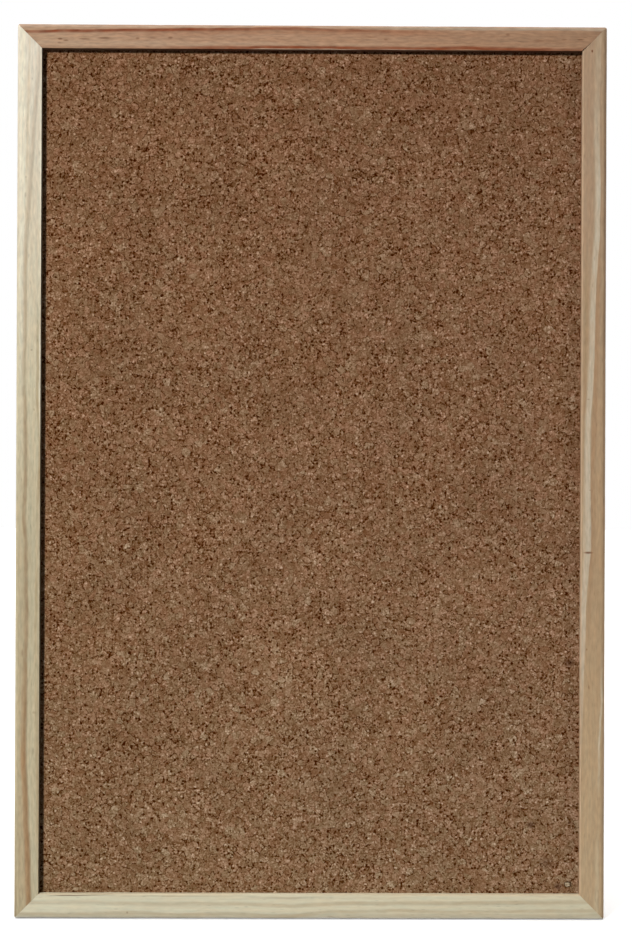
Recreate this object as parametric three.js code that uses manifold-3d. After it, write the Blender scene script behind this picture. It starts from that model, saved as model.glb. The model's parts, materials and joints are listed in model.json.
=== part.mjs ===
// Framed cork pin board, hung on a wall by two swinging ring hangers.
//
// Four mitred pine bars hold a laminated panel in a groove: a cork sheet in front, a softboard core
// that grips the pins and a hardboard back. Staples driven across the mitres hold the corners. A strap
// hanger with a bent wire ring is screwed to the back of each side bar.
//
// Units are millimetres, +Z is up, -Y is the front and +Y the wall. The origin is the middle of the top
// bar's back face.

import * as THREE from "three";
import { mergeVertices } from "three/addons/utils/BufferGeometryUtils.js";
import Module from "manifold-3d";

const wasm = await Module();
wasm.setup();

// Frame
const BOARD_WIDTH = 396;
const BOARD_HEIGHT = 600;
const BAR_WIDTH = 16.5; // seen from the front
const FRONT_LIP = 4; // wood in front of the panel
const BACK_LIP = 3; // wood behind the panel
const GROOVE_DEPTH = 5; // how far the panel's groove is cut into the bar
const OUTER_ROUND = 2; // radius of the front outer edge
const INNER_ROUND = 0.5; // radius of the front inner edge
const MITRE_GAP = 0.2; // glue line between two bars

// Panel
const CORK_THICKNESS = 2.5;
const SOFTBOARD_THICKNESS = 4;
const HARDBOARD_THICKNESS = 2;
const PANEL_PLAY = 0.25; // on each face of the panel, in its groove
const PANEL_EDGE_ROOM = 1; // between the panel's edge and the groove's floor

// Corner staples
const STAPLE_CROWN = 10; // outside width
const STAPLE_LEG = 9; // outside length
const STAPLE_THICKNESS = 0.7; // of the flat wire, across the bend
const STAPLE_WIRE = 1.2; // width of the flat wire
const STAPLE_POINT = 0.8; // how much longer a leg is on its inner side
const STAPLE_SINK = 0.2; // crown below the bar's back face
const STAPLE_CLEARANCE = 0.15;
const STAPLE_FIRST = 5.5; // first staple, from both outer edges of the corner
const STAPLE_PITCH = 5.5; // next staple, further in from both edges

// Ring hangers
const HANGER_DROP = 80; // ring axis below the board's top edge
const STRAP_WIDTH = 9;
const STRAP_THICKNESS = 1;
const CURL_END = THREE.MathUtils.degToRad(-20); // where the strap's curl stops, over the plate
const RING_WIRE = 2; // diameter
const RING_CLEARANCE = 0.25; // round the wire, in the strap's curl
const RING_SIDE_PLAY = 0.25; // straight wire beyond each side of the curl
const RING_BEND = 1.8; // centreline radius of the ring's two small bends
const RING_LEG = 2.6; // straight stretch between a small bend and the ring's round end
const RING_BUTT = 0.4; // gap where the wire's two ends meet, inside the curl

// Hanger screws
const SCREW_SHANK = 3; // diameter
const SCREW_LENGTH = 11; // under the head
const SCREW_TIP = 3; // length of the taper at the end
const SCREW_HEAD = 6; // diameter
const SCREW_HEAD_RIM = 0.8; // height of the head's straight side
const SCREW_HEAD_HEIGHT = 2;
const SCREW_CLEARANCE = 0.15;
const SCREW_RING_ROOM = 1; // between the head and the ring when the ring hangs down
const RECESS_WIDTH = 0.8; // one arm of the cross recess
const RECESS_SPAN = 3.4;
const RECESS_DEPTH = 1.1;

// Number of straight pieces in the round shapes
const EDGE_ARC_STEPS = 4;
const CURL_STEPS = 10;
const STRAP_END_STEPS = 8;
const RING_SIDES = 6;
const RING_STEPS = 56;
const SCREW_SIDES = 24;
const HEAD_DOME_STEPS = 4;

const CUT_MARGIN = 1; // how far a cutting solid runs past the faces that it cuts

// Sizes that follow from those above
const panelThickness = CORK_THICKNESS + SOFTBOARD_THICKNESS + HARDBOARD_THICKNESS;
const grooveWidth = panelThickness + 2 * PANEL_PLAY;
const barDepth = BACK_LIP + grooveWidth + FRONT_LIP;
const boardMiddle = BAR_WIDTH / 2 - BOARD_HEIGHT / 2; // height of the board's middle
const curlInner = RING_WIRE / 2 + RING_CLEARANCE;
const curlOuter = curlInner + STRAP_THICKNESS;
const ringAxisHeight = STRAP_THICKNESS + curlInner; // off the bar's back face
const ringHalf = STRAP_WIDTH / 2 + RING_SIDE_PLAY + RING_BEND; // half the ring's centreline width
const ringReach = RING_BEND + RING_LEG + ringHalf + RING_WIRE / 2; // from its axis to its far end
const screwDrop = ringReach + SCREW_RING_ROOM + SCREW_HEAD / 2; // below the ring axis

// Colours are those of the photographed board, the hidden pieces' are those of their materials.
function material(colour, roughness, metalness = 0) {
  return new THREE.MeshStandardMaterial({ color: colour, roughness, metalness });
}

const redPine = material(0xa8836a, 0.6);
const palePine = material(0xc6bc9f, 0.6);
const creamPine = material(0xd2c8ae, 0.6);
const tanPine = material(0xae9677, 0.6);
const cork = material(0x7b5a40, 0.9);
const softboard = material(0x9a7b55, 0.95);
const hardboard = material(0x6b4a30, 0.7);
const stapleSteel = material(0xb4b2ac, 0.35, 1);
const platedSteel = material(0xc3c1bb, 0.3, 1);

// A closed geometry as a manifold-3d solid.
function solidOf(geometry) {
  const bare = geometry.clone();
  bare.deleteAttribute("normal");
  bare.deleteAttribute("uv");
  const merged = mergeVertices(bare);
  const mesh = new wasm.Mesh({
    numProp: 3,
    vertProperties: merged.attributes.position.array,
    triVerts: new Uint32Array(merged.index.array),
  });
  return new wasm.Manifold(mesh);
}

// A manifold-3d solid as a geometry with flat faces.
function geometryOf(solid) {
  const mesh = solid.getMesh();
  const shared = new THREE.BufferGeometry();
  shared.setAttribute("position", new THREE.BufferAttribute(mesh.vertProperties, mesh.numProp));
  shared.setIndex(new THREE.BufferAttribute(mesh.triVerts, 1));
  const geometry = shared.toNonIndexed();
  geometry.computeVertexNormals();
  return geometry;
}

function named(name, geometry, finish) {
  const mesh = new THREE.Mesh(geometry, finish);
  mesh.name = name;
  return mesh;
}

function polygon(points) {
  return new THREE.Shape(points.map(([x, y]) => new THREE.Vector2(x, y)));
}

// The shape drawn in XY, given a thickness along Z that starts at the given height.
function slab(shape, thickness, start = 0, curveSegments = 1) {
  const options = { depth: thickness, bevelEnabled: false, curveSegments };
  return new THREE.ExtrudeGeometry(shape, options).translate(0, 0, start);
}

// The shape drawn in YZ, given a length along X that has its middle at zero.
function beam(shape, length, curveSegments) {
  const drawnInYZ = new THREE.Matrix4().makeBasis(
    new THREE.Vector3(0, 1, 0),
    new THREE.Vector3(0, 0, 1),
    new THREE.Vector3(1, 0, 0),
  );
  return slab(shape, length, -length / 2, curveSegments).applyMatrix4(drawnInYZ);
}

// Board frame: X to the right and Y up as seen from the front, Z from the wall to the front.

// A bar's section: x from its outer edge inwards, y from the wall to the front.
function barSection() {
  const grooveFloor = BAR_WIDTH - GROOVE_DEPTH;
  const grooveFront = BACK_LIP + grooveWidth;
  const section = new THREE.Shape();
  section.moveTo(0, 0);
  section.lineTo(BAR_WIDTH, 0);
  section.lineTo(BAR_WIDTH, BACK_LIP);
  section.lineTo(grooveFloor, BACK_LIP);
  section.lineTo(grooveFloor, grooveFront);
  section.lineTo(BAR_WIDTH, grooveFront);
  section.absarc(BAR_WIDTH - INNER_ROUND, barDepth - INNER_ROUND, INNER_ROUND, 0, Math.PI / 2);
  section.absarc(OUTER_ROUND, barDepth - OUTER_ROUND, OUTER_ROUND, Math.PI / 2, Math.PI);
  section.closePath();
  return section;
}

// A bar before its fasteners' holes, with x along it, y from its outer edge inwards and both ends mitred.
function barBlank(length) {
  const moulding = beam(barSection(), length, EDGE_ARC_STEPS);
  const outer = length / 2 - MITRE_GAP * Math.SQRT1_2 + CUT_MARGIN;
  const inner = outer - BAR_WIDTH - 2 * CUT_MARGIN;
  const plan = polygon([
    [-outer, -CUT_MARGIN],
    [outer, -CUT_MARGIN],
    [inner, BAR_WIDTH + CUT_MARGIN],
    [-inner, BAR_WIDTH + CUT_MARGIN],
  ]);
  const mitres = slab(plan, barDepth + 2 * CUT_MARGIN, -CUT_MARGIN);
  return solidOf(moulding).intersect(solidOf(mitres));
}

// A bar in its place, with the holes that the fasteners need cut out of it.
function bar(name, length, turn, outwards, finish, cutters) {
  const place = new THREE.Group();
  place.rotation.z = turn;
  place.position.set(outwards.x, boardMiddle + outwards.y, 0);
  place.updateMatrix();
  const intoBar = place.matrix.clone().invert();
  const cut = (solid, cutter) => solid.subtract(solidOf(cutter.clone().applyMatrix4(intoBar)));
  const drilled = cutters.reduce(cut, barBlank(length));
  place.add(named(name, geometryOf(drilled), finish));
  return place;
}

// A staple with its crown along X and its legs along Z, or the room for one when it is grown.
function staple(grown = 0, sunk = 0) {
  const outside = STAPLE_CROWN / 2 + grown;
  const inside = STAPLE_CROWN / 2 - STAPLE_THICKNESS - grown;
  const under = STAPLE_THICKNESS + grown;
  const end = STAPLE_LEG + grown;
  const outline = polygon([
    [-outside, -sunk],
    [outside, -sunk],
    [outside, end - STAPLE_POINT],
    [inside, end],
    [inside, under],
    [-inside, under],
    [-inside, end],
    [-outside, end - STAPLE_POINT],
  ]);
  const width = STAPLE_WIRE + 2 * grown;
  return slab(outline, width, -width / 2).rotateX(Math.PI / 2);
}

// Where each staple lies: two at each corner, square across the mitre.
function staplePlaces() {
  const places = [];
  for (const [vertical, up] of [["top", 1], ["bottom", -1]]) {
    for (const [horizontal, right] of [["left", -1], ["right", 1]]) {
      for (const [depth, step] of [["outer", 0], ["inner", 1]]) {
        const inset = STAPLE_FIRST + step * STAPLE_PITCH;
        places.push({
          name: `corner_staple_${vertical}_${horizontal}_${depth}`,
          x: right * (BOARD_WIDTH / 2 - inset),
          y: boardMiddle + up * (BOARD_HEIGHT / 2 - inset),
          turn: -right * up * (Math.PI / 4),
        });
      }
    }
  }
  return places;
}

// A layer of the panel, all of the same outline, from one height to the next.
function panelLayer(name, from, thickness, finish) {
  const tuck = GROOVE_DEPTH - PANEL_EDGE_ROOM;
  const width = BOARD_WIDTH - 2 * BAR_WIDTH + 2 * tuck;
  const height = BOARD_HEIGHT - 2 * BAR_WIDTH + 2 * tuck;
  const layer = named(name, new THREE.BoxGeometry(width, height, thickness), finish);
  layer.position.set(0, boardMiddle, from + thickness / 2);
  return layer;
}

// Hanger frame: the ring's axis is X, Y runs down the bar from it and Z off the bar's back face.

// The strap: a plate with one end curled round the ring's wire, the other end rounded about its screw.
function strap() {
  const side = new THREE.Shape();
  side.moveTo(screwDrop + STRAP_WIDTH / 2, 0);
  side.lineTo(0, 0);
  side.absarc(0, ringAxisHeight, curlOuter, -Math.PI / 2, CURL_END, true);
  side.absarc(0, ringAxisHeight, curlInner, CURL_END, -Math.PI / 2, false);
  side.lineTo(screwDrop + STRAP_WIDTH / 2, STRAP_THICKNESS);
  side.closePath();
  const bent = beam(side, STRAP_WIDTH, CURL_STEPS);

  const plan = new THREE.Shape();
  plan.moveTo(-STRAP_WIDTH / 2, -curlOuter - CUT_MARGIN);
  plan.lineTo(STRAP_WIDTH / 2, -curlOuter - CUT_MARGIN);
  plan.absarc(0, screwDrop, STRAP_WIDTH / 2, 0, Math.PI);
  plan.closePath();
  const curlTop = ringAxisHeight + curlOuter;
  const blank = slab(plan, curlTop + 2 * CUT_MARGIN, -CUT_MARGIN, STRAP_END_STEPS);

  const hole = screwHole(STRAP_THICKNESS + CUT_MARGIN, -CUT_MARGIN);
  return geometryOf(solidOf(bent).intersect(solidOf(blank)).subtract(solidOf(hole)));
}

// A round hole for the screw's shank, from one height up to another.
function screwHole(top, bottom) {
  const radius = SCREW_SHANK / 2 + SCREW_CLEARANCE;
  const hole = new THREE.CylinderGeometry(radius, radius, top - bottom, SCREW_SIDES);
  return hole.rotateX(Math.PI / 2).translate(0, screwDrop, (top + bottom) / 2);
}

// A flat path in XY as a curve in space.
class FlatCurve extends THREE.Curve {
  constructor(path) {
    super();
    this.path = path;
  }

  getPoint(t, target = new THREE.Vector3()) {
    const { x, y } = this.path.getPoint(t);
    return target.set(x, y, 0);
  }
}

// The ring: one round wire bent to a D, its ends meeting in the middle of the straight side.
function ring() {
  const bendAt = ringHalf - RING_BEND;
  const roundAt = RING_BEND + RING_LEG;
  const line = new THREE.Path();
  line.moveTo(RING_BUTT / 2, 0);
  line.absarc(bendAt, RING_BEND, RING_BEND, -Math.PI / 2, 0);
  line.absarc(0, roundAt, ringHalf, 0, Math.PI);
  line.absarc(-bendAt, RING_BEND, RING_BEND, Math.PI, 1.5 * Math.PI);
  line.lineTo(-RING_BUTT / 2, 0);
  const wire = new THREE.Shape().absarc(0, 0, RING_WIRE / 2, 0, 2 * Math.PI);
  return new THREE.ExtrudeGeometry(wire, {
    extrudePath: new FlatCurve(line),
    steps: RING_STEPS,
    curveSegments: RING_SIDES,
  });
}

// The screw: a domed head with a cross recess, a plain shank and a tapered tip.
function screw() {
  const shank = SCREW_SHANK / 2;
  const head = SCREW_HEAD / 2;
  const profile = [
    new THREE.Vector2(0, -SCREW_LENGTH),
    new THREE.Vector2(shank, SCREW_TIP - SCREW_LENGTH),
    new THREE.Vector2(shank, 0),
    new THREE.Vector2(head, 0),
  ];
  const domeHeight = SCREW_HEAD_HEIGHT - SCREW_HEAD_RIM;
  for (let step = 0; step < HEAD_DOME_STEPS; step++) {
    const angle = (step / HEAD_DOME_STEPS) * (Math.PI / 2);
    profile.push(
      new THREE.Vector2(head * Math.cos(angle), SCREW_HEAD_RIM + domeHeight * Math.sin(angle)),
    );
  }
  profile.push(new THREE.Vector2(0, SCREW_HEAD_HEIGHT));
  const turned = new THREE.LatheGeometry(profile, SCREW_SIDES).rotateX(Math.PI / 2);

  const recessHeight = RECESS_DEPTH + CUT_MARGIN;
  const recessMiddle = SCREW_HEAD_HEIGHT - RECESS_DEPTH + recessHeight / 2;
  const arms = [
    new THREE.BoxGeometry(RECESS_SPAN, RECESS_WIDTH, recessHeight),
    new THREE.BoxGeometry(RECESS_WIDTH, RECESS_SPAN, recessHeight),
  ];
  const cut = (solid, arm) => solid.subtract(solidOf(arm.translate(0, 0, recessMiddle)));
  return geometryOf(arms.reduce(cut, solidOf(turned)));
}

// A hanger on the back of a side bar, hanging as it does off the wall, with its ring down.
function hanger(side, right) {
  const group = new THREE.Group();
  const strapMesh = named(`hanger_strap_${side}`, strap(), platedSteel);
  const ringMesh = named(`hanger_ring_${side}`, ring(), platedSteel);
  ringMesh.position.z = ringAxisHeight;
  const screwMesh = named(`hanger_screw_${side}`, screw(), platedSteel);
  screwMesh.position.set(0, screwDrop, STRAP_THICKNESS);
  group.add(strapMesh, ringMesh, screwMesh);
  group.rotation.x = Math.PI;
  group.position.set(
    right * (BOARD_WIDTH / 2 - BAR_WIDTH / 2),
    BAR_WIDTH / 2 - HANGER_DROP,
    0,
  );
  group.updateMatrix();
  return group;
}

// Assembly
const board = new THREE.Group();

const hangers = [hanger("left", -1), hanger("right", 1)];
board.add(...hangers);

const staples = staplePlaces();
for (const { name, x, y, turn } of staples) {
  const mesh = named(name, staple(), stapleSteel);
  mesh.rotation.z = turn;
  mesh.position.set(x, y, STAPLE_SINK);
  board.add(mesh);
}

const stapleRoom = staples.map(({ x, y, turn }) =>
  staple(STAPLE_CLEARANCE, STAPLE_SINK + CUT_MARGIN).rotateZ(turn).translate(x, y, STAPLE_SINK),
);
const pilotEnd = STRAP_THICKNESS - SCREW_LENGTH - SCREW_CLEARANCE;
const pilotHoles = hangers.map((group) => screwHole(CUT_MARGIN, pilotEnd).applyMatrix4(group.matrix));
const cutters = [...stapleRoom, ...pilotHoles];

const outUp = new THREE.Vector2(0, BOARD_HEIGHT / 2);
const outRight = new THREE.Vector2(BOARD_WIDTH / 2, 0);
const quarter = Math.PI / 2;
board.add(
  bar("bottom_bar", BOARD_WIDTH, 0, outUp.clone().negate(), palePine, cutters),
  bar("right_bar", BOARD_HEIGHT, quarter, outRight, tanPine, cutters),
  bar("top_bar", BOARD_WIDTH, 2 * quarter, outUp, redPine, cutters),
  bar("left_bar", BOARD_HEIGHT, 3 * quarter, outRight.clone().negate(), creamPine, cutters),
);

const hardboardFrom = BACK_LIP + PANEL_PLAY;
const softboardFrom = hardboardFrom + HARDBOARD_THICKNESS;
const corkFrom = softboardFrom + SOFTBOARD_THICKNESS;
board.add(
  panelLayer("hardboard_back", hardboardFrom, HARDBOARD_THICKNESS, hardboard),
  panelLayer("softboard_core", softboardFrom, SOFTBOARD_THICKNESS, softboard),
  panelLayer("cork_sheet", corkFrom, CORK_THICKNESS, cork),
);

// The board stands upright, its front towards -Y.
board.rotation.x = Math.PI / 2;
const part = new THREE.Group();
part.add(board);

export default part;
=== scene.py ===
import json
import math
import random

import bmesh
import bpy
from mathutils import Matrix, Vector, noise


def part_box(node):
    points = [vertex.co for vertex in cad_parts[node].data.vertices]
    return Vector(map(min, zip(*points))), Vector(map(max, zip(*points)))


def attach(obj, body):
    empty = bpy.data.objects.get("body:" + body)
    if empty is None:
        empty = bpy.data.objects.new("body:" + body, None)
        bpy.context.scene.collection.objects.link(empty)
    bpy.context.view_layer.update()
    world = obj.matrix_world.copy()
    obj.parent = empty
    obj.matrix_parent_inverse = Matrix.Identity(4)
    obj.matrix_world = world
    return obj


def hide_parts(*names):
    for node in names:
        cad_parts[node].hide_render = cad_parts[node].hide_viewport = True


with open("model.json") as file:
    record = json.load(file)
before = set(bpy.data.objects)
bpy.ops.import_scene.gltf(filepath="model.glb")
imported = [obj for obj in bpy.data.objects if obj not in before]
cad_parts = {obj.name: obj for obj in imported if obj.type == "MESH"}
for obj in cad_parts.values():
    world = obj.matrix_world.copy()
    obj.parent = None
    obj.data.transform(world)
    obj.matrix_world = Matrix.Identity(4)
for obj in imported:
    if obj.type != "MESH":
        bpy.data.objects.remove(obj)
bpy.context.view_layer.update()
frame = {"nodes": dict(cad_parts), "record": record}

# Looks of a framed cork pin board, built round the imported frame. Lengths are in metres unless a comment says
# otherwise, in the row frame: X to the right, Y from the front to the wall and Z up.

MM = 0.001
BODY = "board"

# The board's own sizes, read from the frame
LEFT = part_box("left_bar")[0].x
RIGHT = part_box("right_bar")[1].x
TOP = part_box("top_bar")[1].z
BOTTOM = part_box("bottom_bar")[0].z
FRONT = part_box("top_bar")[0].y
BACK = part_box("top_bar")[1].y
BAR_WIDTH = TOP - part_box("top_bar")[0].z
BAR_DEPTH = BACK - FRONT
CORK_LOW, CORK_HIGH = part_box("cork_sheet")
HARDBOARD_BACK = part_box("hardboard_back")[1].y
BOARD_MIDDLE = Vector(((LEFT + RIGHT) / 2, FRONT, (TOP + BOTTOM) / 2))

# Bar moulding
OUTER_ROUND = 2.0 * MM
INNER_ROUND = 0.3 * MM
BACK_ROUND = 0.4 * MM
PANEL_PLAY = 0.25 * MM  # before and behind the panel in the groove
SWELL_ROOM = 1.0 * MM  # between the panel's edge and the groove's floor
GROOVE_FLOOR = CORK_LOW.x - LEFT - SWELL_ROOM
FRONT_POINTS = 4  # of the section, on the flat front
ROUND_STEPS = 8
BACK_STEPS = 3
STATION_SPACING = 5.0 * MM
CORNER_ROUND = 1.4 * MM  # the board's four corners, sanded after gluing
CORNER_STEPS = 5
MITRE_TRIM = 0.03 * MM  # glue line, on each bar
OPEN_MITRE_BAR = "top_bar"  # the joint at this bar's right end has opened inside
OPEN_MITRE_GAP = 0.9 * MM
OPEN_MITRE_REACH = 6.0 * MM

# Wear of the bars: planing marks, and dings on the outer front edge
WAVINESS = 0.07 * MM
WAVE_LENGTH = 40.0 * MM
WAVE_WIDTH = 10.0 * MM
DINGS_PER_BAR = 7
DING_DEPTH = 0.25 * MM
DING_SHALLOWEST = 0.3  # as a share of that depth
DING_RADIUS = 2.2 * MM
DING_MARGIN = 0.03  # at each end, as a share of the bar's length

# Fasteners sunk in the bars
STAPLE_CROWN = 10.0 * MM
STAPLE_WIRE = 1.2 * MM
STAPLE_THICKNESS = 0.7 * MM
FASTENER_ROOM = 0.15 * MM
PILOT_RADIUS = 1.65 * MM
PILOT_SIDES = 24
CUT_PAST = 1.0 * MM

# Shading across edges
WELD_DISTANCE = 0.001 * MM
SHARP_ANGLE = math.radians(40)

# Cork's front
CORK_GRID = 2.0 * MM
CORK_RELIEF = 0.10 * MM

# Camera, fitted to the board's outline in the photograph: angles in degrees, lens in millimetres
CAMERA_DISTANCE = 1.0
CAMERA_ASIDE = -0.0022
CAMERA_HEIGHT = -0.2935
CAMERA_PITCH = 0.080
CAMERA_YAW = -0.323
CAMERA_ROLL = -0.233
CAMERA_LENS = 55.87

# Light: which way each lamp shines, its strength and how wide it looks in degrees
LAMPS = {
    "key": (Vector((0.66, 1.0, -0.45)), 3.17, 10.0),  # from the upper left, in front
    "top": (Vector((0.0, 0.04, -1.0)), 2.1, 20.0),
    "back": (Vector((0.15, -1.0, -0.1)), 2.8, 10.0),
    "side": (Vector((-1.0, -0.2, -0.06)), 2.0, 10.0),  # from the right
}
AMBIENT = 0.025
WHITE = (1, 1, 1, 1)
FLOOR_SEEN = (0.98, 0.98, 0.98, 1)
FLOOR_SCATTERING = (0.10, 0.10, 0.10, 1)
FLOOR_GLOW = 0.25
FLOOR_DROP = 0.5 * MM
FLOOR_SIZE = 14.0


def srgb(red, green, blue):
    """A colour given as it looks on screen, 0 to 255, as linear RGBA."""
    linear = []
    for channel in (red, green, blue):
        share = channel / 255
        linear.append(share / 12.92 if share <= 0.04045 else ((share + 0.055) / 1.055) ** 2.4)
    return (*linear, 1.0)


class Material:
    """A node material, with short calls that add a node and give back its output."""

    def __init__(self, name):
        self.data = bpy.data.materials.new(name)
        self.data.use_nodes = True
        self.tree = self.data.node_tree
        self.tree.nodes.clear()
        output = self.node("ShaderNodeOutputMaterial")
        self.shader = self.node("ShaderNodeBsdfPrincipled")
        self.tree.links.new(self.shader.outputs["BSDF"], output.inputs["Surface"])

    def node(self, kind, **settings):
        made = self.tree.nodes.new(kind)
        for name, value in settings.items():
            setattr(made, name, value)
        return made

    def feed(self, socket, value):
        """Links an output to the socket, or sets the socket to a plain value."""
        if isinstance(value, bpy.types.NodeSocket):
            self.tree.links.new(value, socket)
        else:
            socket.default_value = value

    def set(self, name, value):
        self.feed(self.shader.inputs[name], value)

    def math(self, operation, first, second=0.0, clamp=False):
        node = self.node("ShaderNodeMath", operation=operation, use_clamp=clamp)
        self.feed(node.inputs[0], first)
        self.feed(node.inputs[1], second)
        return node.outputs[0]

    def scaled(self, value, factor, offset=0.0):
        """value times factor plus offset."""
        node = self.node("ShaderNodeMath", operation="MULTIPLY_ADD")
        self.feed(node.inputs[0], value)
        self.feed(node.inputs[1], factor)
        self.feed(node.inputs[2], offset)
        return node.outputs[0]

    def remap(self, value, low, high, to_low=0.0, to_high=1.0, smooth=False):
        """value taken from the range low to high into the range to_low to to_high, and kept inside it."""
        kind = "SMOOTHSTEP" if smooth else "LINEAR"
        node = self.node("ShaderNodeMapRange", interpolation_type=kind, clamp=True)
        for name, given in (("Value", value), ("From Min", low), ("From Max", high),
                            ("To Min", to_low), ("To Max", to_high)):
            self.feed(node.inputs[name], given)
        return node.outputs["Result"]

    def mix(self, share, first, second, blend="MIX"):
        node = self.node("ShaderNodeMix", data_type="RGBA", blend_type=blend)
        self.feed(node.inputs[0], share)
        self.feed(node.inputs[6], first)
        self.feed(node.inputs[7], second)
        return node.outputs[2]

    def vector(self, x, y, z):
        node = self.node("ShaderNodeCombineXYZ")
        for socket, value in zip(node.inputs, (x, y, z)):
            self.feed(socket, value)
        return node.outputs[0]

    def add(self, first, second, factor=1.0):
        """first plus second times factor, as vectors."""
        node = self.node("ShaderNodeVectorMath", operation="MULTIPLY_ADD")
        self.feed(node.inputs[0], second)
        self.feed(node.inputs[1], (factor, factor, factor))
        self.feed(node.inputs[2], first)
        return node.outputs[0]

    def millimetres(self):
        """The surface point in the row frame, in millimetres."""
        place = self.node("ShaderNodeTexCoord")
        node = self.node("ShaderNodeVectorMath", operation="SCALE")
        self.feed(node.inputs[0], place.outputs["Object"])
        self.feed(node.inputs["Scale"], 1 / MM)
        return node.outputs[0]

    def reach(self, first, second):
        """The length of the line to a point that lies first one way and second the other way."""
        squares = self.math("ADD", self.math("POWER", first, 2.0), self.math("POWER", second, 2.0))
        return self.math("SQRT", squares)

    def channels(self, colour):
        node = self.node("ShaderNodeSeparateColor")
        self.feed(node.inputs[0], colour)
        return node.outputs

    def parts(self, vector):
        node = self.node("ShaderNodeSeparateXYZ")
        self.feed(node.inputs[0], vector)
        return node.outputs

    def noise(self, vector, scale, detail=2.0, roughness=0.5, colour=False):
        node = self.node("ShaderNodeTexNoise")
        self.feed(node.inputs["Vector"], vector)
        self.feed(node.inputs["Scale"], scale)
        self.feed(node.inputs["Detail"], detail)
        self.feed(node.inputs["Roughness"], roughness)
        return node.outputs["Color" if colour else "Fac"]

    def lines(self, first, depth, second, waves, detail=2.0):
        """Noise drawn out into lines, by its waves in a millimetre along the two ways of a face."""
        place = self.vector(self.scaled(first, waves[0]), depth, self.scaled(second, waves[1]))
        return self.noise(place, 1.0, detail)

    def cells(self, vector, scale):
        """Voronoi cells: the distance to the nearest cell's centre, and two random values of that cell."""
        node = self.node("ShaderNodeTexVoronoi")
        self.feed(node.inputs["Vector"], vector)
        self.feed(node.inputs["Scale"], scale)
        first, second, _ = self.channels(node.outputs["Color"])
        return node.outputs["Distance"], first, second

    def seam(self, vector, scale):
        """The distance to the nearest edge between Voronoi cells."""
        node = self.node("ShaderNodeTexVoronoi", feature="DISTANCE_TO_EDGE")
        self.feed(node.inputs["Vector"], vector)
        self.feed(node.inputs["Scale"], scale)
        return node.outputs["Distance"]

    def ramp(self, value, stops):
        """Colours by value, from (place, colour) pairs."""
        node = self.node("ShaderNodeValToRGB")
        elements = node.color_ramp.elements
        while len(elements) < len(stops):
            elements.new(0.5)
        for element, (place, colour) in zip(elements, stops):
            element.position = place
            element.color = colour
        self.feed(node.inputs[0], value)
        return node.outputs[0]

    def bump(self, height, distance, strength):
        node = self.node("ShaderNodeBump")
        self.feed(node.inputs["Strength"], strength)
        self.feed(node.inputs["Distance"], distance)
        self.feed(node.inputs["Height"], height)
        self.set("Normal", node.outputs[0])


# Wood

class Streak:
    """A stripe along a bar. It has its full colour from its path inwards over the core, and fades over two
    more widths: (outer fade, core, inner fade). The path is a list of points: along the bar, in from the
    outer edge, and the strength there. Lengths are in millimetres."""

    def __init__(self, colour, widths, *path):
        self.colour = colour
        self.widths = widths
        self.path = path


class Fleck:
    """A small dark spot: a bit of bark, a pin knot or a nick. Its place and size are in millimetres."""

    def __init__(self, along, offset, length, width, strength):
        self.along = along
        self.offset = offset
        self.length = length
        self.width = width
        self.strength = strength


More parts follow.
